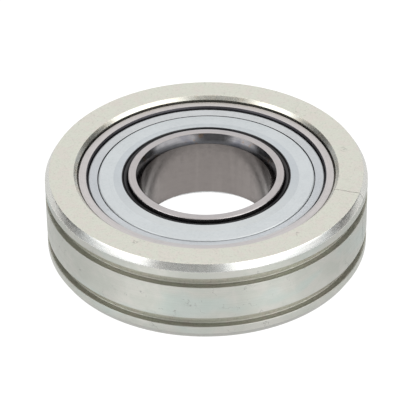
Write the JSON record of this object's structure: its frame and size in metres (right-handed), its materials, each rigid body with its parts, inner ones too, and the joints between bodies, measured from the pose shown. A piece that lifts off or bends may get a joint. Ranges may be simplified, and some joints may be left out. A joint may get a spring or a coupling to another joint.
{
  "type": "cam follower",
  "caption": "Yoke-type roller: a sealed self-aligning ball bearing with a spherical outside, seated in a wider, grooved and split steel ring. Plain round bore for a pin.",
  "frame": {"origin": "the bearing's centre: on the bore's axis, midway between the two side faces, and the centre of the spherical seat", "axes": "+Z along the bore's axis; +X and +Y radial, with the ring's split line 16.5 degrees clockwise from +X seen from +Z"},
  "size_m": [0.062, 0.062, 0.017],
  "materials": {
    "zinc_plate": "zinc plate with a clear passivate, pale and slightly greenish, matt on the faces",
    "ground_steel": "ground bearing steel, faintly warm grey, fine rings from grinding",
    "zinc_sheet": "zinc-coated sheet, bluish white, satin",
    "polished_steel": "lapped, mirror bright",
    "cage_steel": "pressed strip, lightly oiled",
    "nitrile_rubber": "moulded nitrile rubber, dull black"
  },
  "bodies": {
    "inner_ring": {"bearing_inner_ring": "ground_steel"},
    "bearing_outer": {"bearing_outer_ring": "ground_steel", "seal_carrier_upper": "zinc_sheet", "seal_carrier_lower": "zinc_sheet", "seal_lip_upper": "nitrile_rubber", "seal_lip_lower": "nitrile_rubber", "seal_cover_upper": "zinc_sheet", "seal_cover_lower": "zinc_sheet"},
    "housing": {"split_housing_ring": "zinc_plate"},
    "cage": {"cage_half_upper": "cage_steel", "cage_half_lower": "cage_steel", "cage_rivet_1": "cage_steel", "cage_rivet_2": "cage_steel", "cage_rivet_3": "cage_steel", "cage_rivet_4": "cage_steel", "cage_rivet_5": "cage_steel", "cage_rivet_6": "cage_steel", "cage_rivet_7": "cage_steel", "cage_rivet_8": "cage_steel", "cage_rivet_9": "cage_steel"},
    "rolling_ball_1": {"ball_1": "polished_steel"},
    "rolling_ball_2": {"ball_2": "polished_steel"},
    "rolling_ball_3": {"ball_3": "polished_steel"},
    "rolling_ball_4": {"ball_4": "polished_steel"},
    "rolling_ball_5": {"ball_5": "polished_steel"},
    "rolling_ball_6": {"ball_6": "polished_steel"},
    "rolling_ball_7": {"ball_7": "polished_steel"},
    "rolling_ball_8": {"ball_8": "polished_steel"},
    "rolling_ball_9": {"ball_9": "polished_steel"}
  },
  "joints": [
    {"name": "roller_spin", "type": "hinge", "parent": "inner_ring", "child": "bearing_outer", "pos_m": [0, 0, 0], "axis": [0, 0, 1], "continuous": true},
    {"name": "housing_tilt", "type": "hinge", "parent": "bearing_outer", "child": "housing", "pos_m": [0, 0, 0], "axis": [1, 0, 0], "range_deg": [-2.5, 2.5]},
    {"name": "cage_orbit", "type": "hinge", "parent": "inner_ring", "child": "cage", "pos_m": [0, 0, 0], "axis": [0, 0, 1], "continuous": true},
    {"name": "ball_1_roll", "type": "hinge", "parent": "cage", "child": "rolling_ball_1", "pos_m": [0.01952, 0, 0], "axis": [0, 0, 1], "continuous": true},
    {"name": "ball_2_roll", "type": "hinge", "parent": "cage", "child": "rolling_ball_2", "pos_m": [0.01495, 0.01255, 0], "axis": [0, 0, 1], "continuous": true},
    {"name": "ball_3_roll", "type": "hinge", "parent": "cage", "child": "rolling_ball_3", "pos_m": [0.00339, 0.01922, 0], "axis": [0, 0, 1], "continuous": true},
    {"name": "ball_4_roll", "type": "hinge", "parent": "cage", "child": "rolling_ball_4", "pos_m": [-0.00976, 0.0169, 0], "axis": [0, 0, 1], "continuous": true},
    {"name": "ball_5_roll", "type": "hinge", "parent": "cage", "child": "rolling_ball_5", "pos_m": [-0.01834, 0.00668, 0], "axis": [0, 0, 1], "continuous": true},
    {"name": "ball_6_roll", "type": "hinge", "parent": "cage", "child": "rolling_ball_6", "pos_m": [-0.01834, -0.00668, 0], "axis": [0, 0, 1], "continuous": true},
    {"name": "ball_7_roll", "type": "hinge", "parent": "cage", "child": "rolling_ball_7", "pos_m": [-0.00976, -0.0169, 0], "axis": [0, 0, 1], "continuous": true},
    {"name": "ball_8_roll", "type": "hinge", "parent": "cage", "child": "rolling_ball_8", "pos_m": [0.00339, -0.01922, 0], "axis": [0, 0, 1], "continuous": true},
    {"name": "ball_9_roll", "type": "hinge", "parent": "cage", "child": "rolling_ball_9", "pos_m": [0.01495, -0.01255, 0], "axis": [0, 0, 1], "continuous": true}
  ],
  "couplings": [
    {"joint": "cage_orbit", "follows": "roller_spin", "ratio": 0.60167},
    {"joint": "ball_1_roll", "follows": "roller_spin", "ratio": 2.3574},
    {"joint": "ball_2_roll", "follows": "roller_spin", "ratio": 2.3574},
    {"joint": "ball_3_roll", "follows": "roller_spin", "ratio": 2.3574},
    {"joint": "ball_4_roll", "follows": "roller_spin", "ratio": 2.3574},
    {"joint": "ball_5_roll", "follows": "roller_spin", "ratio": 2.3574},
    {"joint": "ball_6_roll", "follows": "roller_spin", "ratio": 2.3574},
    {"joint": "ball_7_roll", "follows": "roller_spin", "ratio": 2.3574},
    {"joint": "ball_8_roll", "follows": "roller_spin", "ratio": 2.3574},
    {"joint": "ball_9_roll", "follows": "roller_spin", "ratio": 2.3574}
  ]
}
